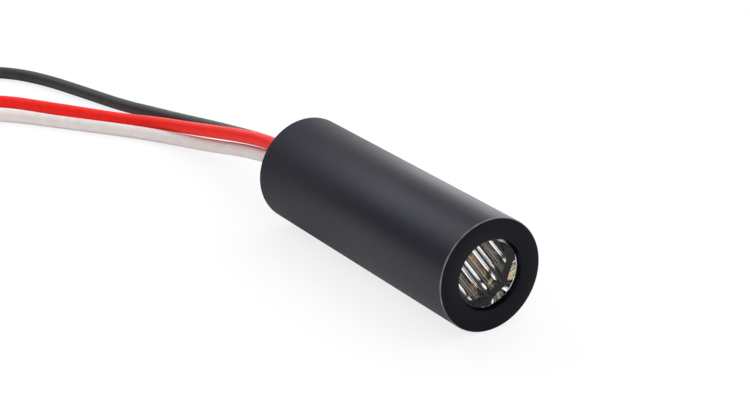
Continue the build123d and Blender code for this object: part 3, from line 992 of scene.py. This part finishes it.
# %% Table
TABLE_HALF = 3.0
TABLE_DROP = 0.02 * MM
table_bm = bmesh.new()
bmesh.ops.create_grid(table_bm, x_segments=1, y_segments=1, size=TABLE_HALF)
bmesh.ops.translate(table_bm, verts=table_bm.verts[:], vec=(0.0, 0.0, -TABLE_DROP))
table_mesh = bpy.data.meshes.new("table")
table_bm.to_mesh(table_mesh)
table_bm.free()
table = bpy.data.objects.new("table", table_mesh)
scene.collection.objects.link(table)
print("table size, m:", [round(side, 2) for side in table.dimensions])

# %% Table finish
TABLE_WHITE = (0.95, 0.95, 0.945, 1.0)
TABLE_ROUGHNESS = 0.8
WHITE_SHARE = 0.8
MIRRORED_SHARE = 0.1
table_white = bpy.data.materials.new("table_white")
table_white.use_nodes = True
table_mesh.materials.append(table_white)
tree, surface = inside(table_white)
surface.inputs["Base Color"].default_value = TABLE_WHITE
surface.inputs["Roughness"].default_value = TABLE_ROUGHNESS
glow = tree.nodes.new("ShaderNodeEmission")
path = tree.nodes.new("ShaderNodeLightPath")
straight = maths(tree, "MAXIMUM", path.outputs["Is Camera Ray"], path.outputs["Is Transmission Ray"])
direct = maths(tree, "MULTIPLY", straight, WHITE_SHARE)
mirrored = maths(tree, "MULTIPLY", path.outputs["Is Glossy Ray"], MIRRORED_SHARE)
both = tree.nodes.new("ShaderNodeMixShader")
tree.links.new(maths(tree, "MAXIMUM", direct, mirrored), both.inputs["Fac"])
tree.links.new(surface.outputs["BSDF"], both.inputs[1])
tree.links.new(glow.outputs["Emission"], both.inputs[2])
tree.links.new(both.outputs["Shader"], tree.nodes["Material Output"].inputs["Surface"])
print("white shares, direct and mirrored:", WHITE_SHARE, MIRRORED_SHARE)

# %% [markdown]
# ## The light
# The room is grey at the level of the table, white above and brightest in front, where the lens
# looks. One large soft lamp hangs above, one stands low behind the object and lights the upper
# edge of the tube, and two small ones give the soft band on its side and light the front.

# %% Room light
LEVEL_GREY = (0.22, 0.225, 0.24)
ABOVE_WHITE = (0.94, 0.95, 1.0)
FRONT_WHITE = (1.3, 1.3, 1.3)
RISE_LIMITS = 0.0, 0.9
FRONT_LIMITS = 0.2, 0.7
ROOM_STRENGTH = 0.75
world = bpy.data.worlds.new("soft_room")
scene.world = world
world.use_nodes = True
tree = world.node_tree
direction = tree.nodes.new("ShaderNodeSeparateXYZ")
tree.links.new(tree.nodes.new("ShaderNodeTexCoord").outputs["Generated"], direction.inputs["Vector"])
above = spread(tree, direction.outputs["Z"], *RISE_LIMITS)
ahead = spread(tree, direction.outputs["X"], *FRONT_LIMITS)
room = between_colours(tree, above, LEVEL_GREY, ABOVE_WHITE)
sky = tree.nodes["Background"]
tree.links.new(towards(tree, ahead, room, FRONT_WHITE), sky.inputs["Color"])
sky.inputs["Strength"].default_value = ROOM_STRENGTH
print("room strength:", ROOM_STRENGTH)

# %% Soft lamps
LAMPS = {
    "top_lamp": {"at": (-0.10, 0.40, 0.65), "sides": (0.7, 0.5), "watts": 2.3},
    "far_lamp": {"at": (-0.45, 0.37, 0.10), "sides": (0.8, 0.18), "watts": 1.05},
    "left_lamp": {"at": (-0.43, -0.09, 0.33), "sides": (0.3, 0.3), "watts": 0.52},
    "front_lamp": {"at": (0.35, -0.30, 0.35), "sides": (0.4, 0.4), "watts": 0.4},
}
for name, lamp in LAMPS.items():
    lamp_data = bpy.data.lights.new(name, "AREA")
    lamp_data.shape = "RECTANGLE"
    lamp_data.size, lamp_data.size_y = lamp["sides"]
    lamp_data.energy = lamp["watts"]
    lamp_object = bpy.data.objects.new(name, lamp_data)
    lamp_object.location = lamp["at"]
    lamp_object.rotation_euler = (-Vector(lamp["at"])).to_track_quat("-Z", "Y").to_euler()
    lamp_object.visible_camera = False
    scene.collection.objects.link(lamp_object)
print("lamps, W:", {name: lamp["watts"] for name, lamp in LAMPS.items()})

# %% [markdown]
# ## The last update
# The view layer is brought up to date once more.

# %% Last update
bpy.context.view_layer.update()
